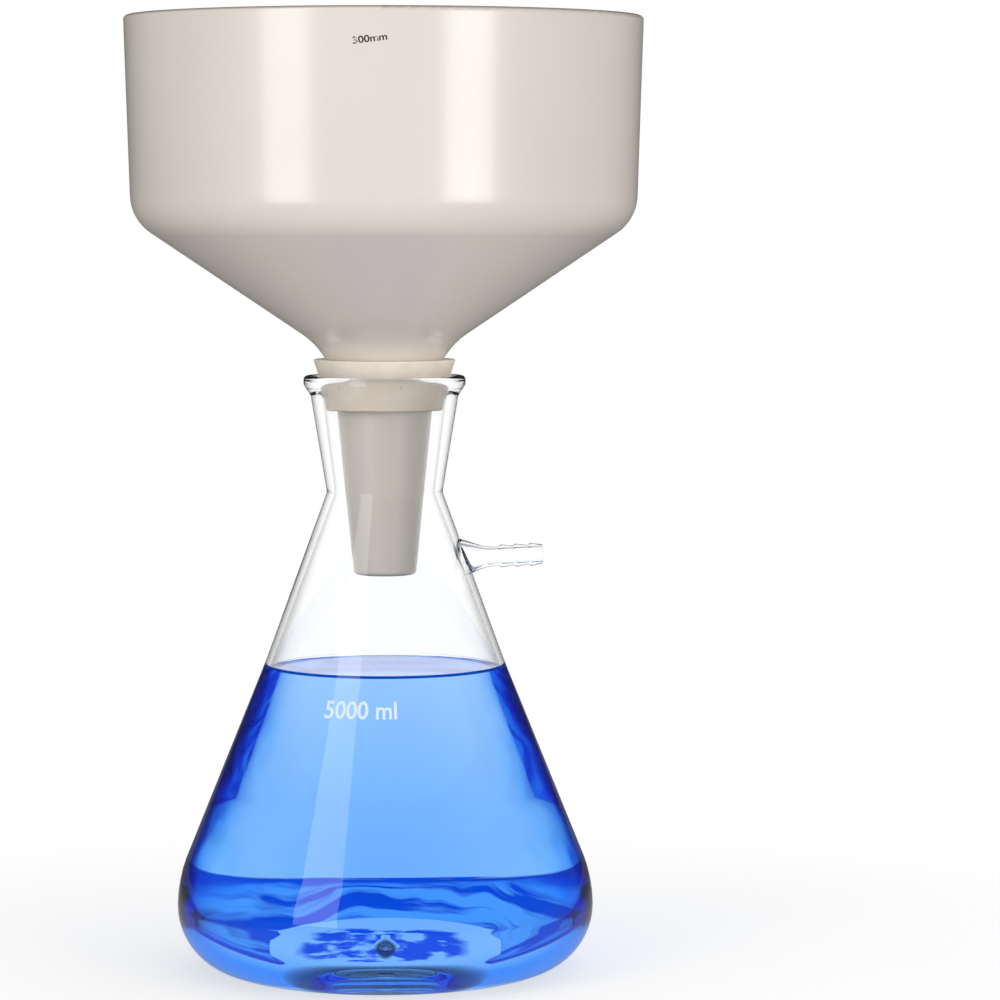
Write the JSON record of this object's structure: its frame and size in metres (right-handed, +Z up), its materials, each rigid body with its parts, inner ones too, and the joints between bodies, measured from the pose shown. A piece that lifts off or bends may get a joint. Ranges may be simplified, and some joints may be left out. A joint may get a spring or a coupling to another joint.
{
  "type": "buchner funnel on filtering flask",
  "caption": "One-piece porcelain funnel with a perforated plate, pushed through a rubber stopper into a conical glass suction flask that holds dyed water.",
  "frame": {"origin": "on the flask's axis, in the plane of the ring that it stands on", "axes": "+Z up along the common axis of flask, stopper and funnel; +X along the plan direction of the flask's side arm"},
  "size_m": [0.2998, 0.2998, 0.555],
  "materials": {
    "borosilicate_glass": "clear, fire-polished",
    "glazed_porcelain": "warm grey-white, glossy glaze",
    "cream_rubber": "matte",
    "blue_water": "clear dyed liquid"
  },
  "bodies": {
    "root": {"filtering_flask": "borosilicate_glass", "buchner_funnel": "glazed_porcelain", "rubber_stopper": "cream_rubber", "dyed_water": "blue_water"}
  },
  "joints": []
}
